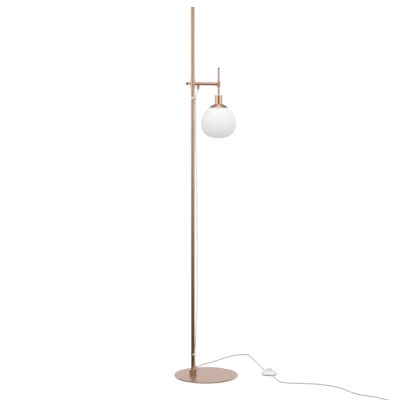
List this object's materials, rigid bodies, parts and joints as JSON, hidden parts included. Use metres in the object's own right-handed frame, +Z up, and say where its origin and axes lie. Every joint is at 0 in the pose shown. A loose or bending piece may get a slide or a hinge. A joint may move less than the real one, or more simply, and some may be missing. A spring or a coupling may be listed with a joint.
{
  "type": "globe floor lamp",
  "caption": "Slim floor lamp: thin round base, off-centre copper pole, sliding side arm with a hanging opal glass globe, clear mains cord with a foot switch and plug.",
  "frame": {"origin": "centre of the round base's underside, on the floor", "axes": "+X from the pole along the arm, +Y away from the viewer, +Z up"},
  "size_m": [1.1158, 0.7575, 1.61],
  "materials": {
    "foam": "matte dark foam",
    "copper": "steel with a satin copper plating, fine grain",
    "copper_dark": "satin, slightly greyer copper",
    "steel": "bright zinc",
    "brass": "plain turned brass",
    "nylon": "smooth natural nylon",
    "clear_grip": "cloudy translucent plastic",
    "clear_clip": "clear milky plastic",
    "clear_cord": "clear sleeve over white wires",
    "dark_cap": "dark moulded plastic",
    "opal_glass": "satin opal white",
    "bulb_glass": "frosted white",
    "bulb_metal": "plain rolled aluminium",
    "holder": "white heat-proof moulding",
    "white_plastic": "smooth white moulding",
    "plug_plastic": "smooth white moulding",
    "pin_metal": "bright nickel plating",
    "tie": "thin white strap",
    "inner_wire": "thin white insulation"
  },
  "bodies": {
    "stand": {"base_pad": "foam", "base_plate": "copper", "base_screw": "steel", "pole_socket": "copper", "socket_grub": "steel", "pole_lower": "copper", "pole_upper": "copper", "pole_joiner": "steel", "pole_end_cap": "copper_dark", "clip_lower": "clear_clip", "cord_drop": "clear_cord", "cord_floor": "clear_cord", "cord_tail": "clear_cord", "cord_coil": "clear_cord", "coil_tie": "tie", "cord_end": "clear_cord", "plug_body": "plug_plastic", "plug_pin_left": "pin_metal", "plug_pin_right": "pin_metal", "switch_base": "white_plastic", "switch_cover": "white_plastic", "switch_spring": "steel", "switch_screw_left": "steel", "switch_screw_right": "steel"},
    "carriage": {"clamp_liner": "nylon", "clip_upper": "clear_clip", "cord_link": "clear_cord"},
    "arm": {"clamp_sleeve": "copper", "arm_tube": "copper", "arm_spigot": "steel", "gland_body": "copper", "gland_grip": "clear_grip", "stem_collar": "copper", "collar_grub": "steel", "stem_tube": "copper", "stem_end_cap": "dark_cap", "lamp_cup": "copper", "stem_nut": "steel", "shade_cap": "copper", "holder_body": "holder", "holder_shell": "brass", "holder_contact": "brass", "gallery_boss": "holder", "glass_globe": "opal_glass", "globe_ring": "holder", "bulb_cap": "bulb_metal", "bulb_glass": "bulb_glass", "inner_lead": "inner_wire"},
    "knob": {"clamp_knob": "copper_dark", "thumb_screw": "steel", "thumb_tip": "nylon"},
    "button": {"switch_button": "white_plastic"}
  },
  "joints": [
    {"name": "arm_height", "type": "slide", "parent": "stand", "child": "carriage", "axis": [0, 0, 1], "range_m": [-0.25, 0.25], "deforming": ["cord_drop"]},
    {"name": "arm_swivel", "type": "hinge", "parent": "carriage", "child": "arm", "pos_m": [-0.06, 0, 1.283], "axis": [0, 0, 1], "range_deg": [-60, 60], "deforming": ["cord_link"]},
    {"name": "knob_turn", "type": "hinge", "parent": "arm", "child": "knob", "pos_m": [-0.06, 0, 1.283], "axis": [-1, 0, 0], "range_deg": [0, 330]},
    {"name": "button_press", "type": "slide", "parent": "stand", "child": "button", "axis": [0, 0, -1], "range_m": [0, 0.004], "stiffness_N_per_m": 500, "springref_m": -0.002, "deforming": ["switch_spring"]}
  ]
}
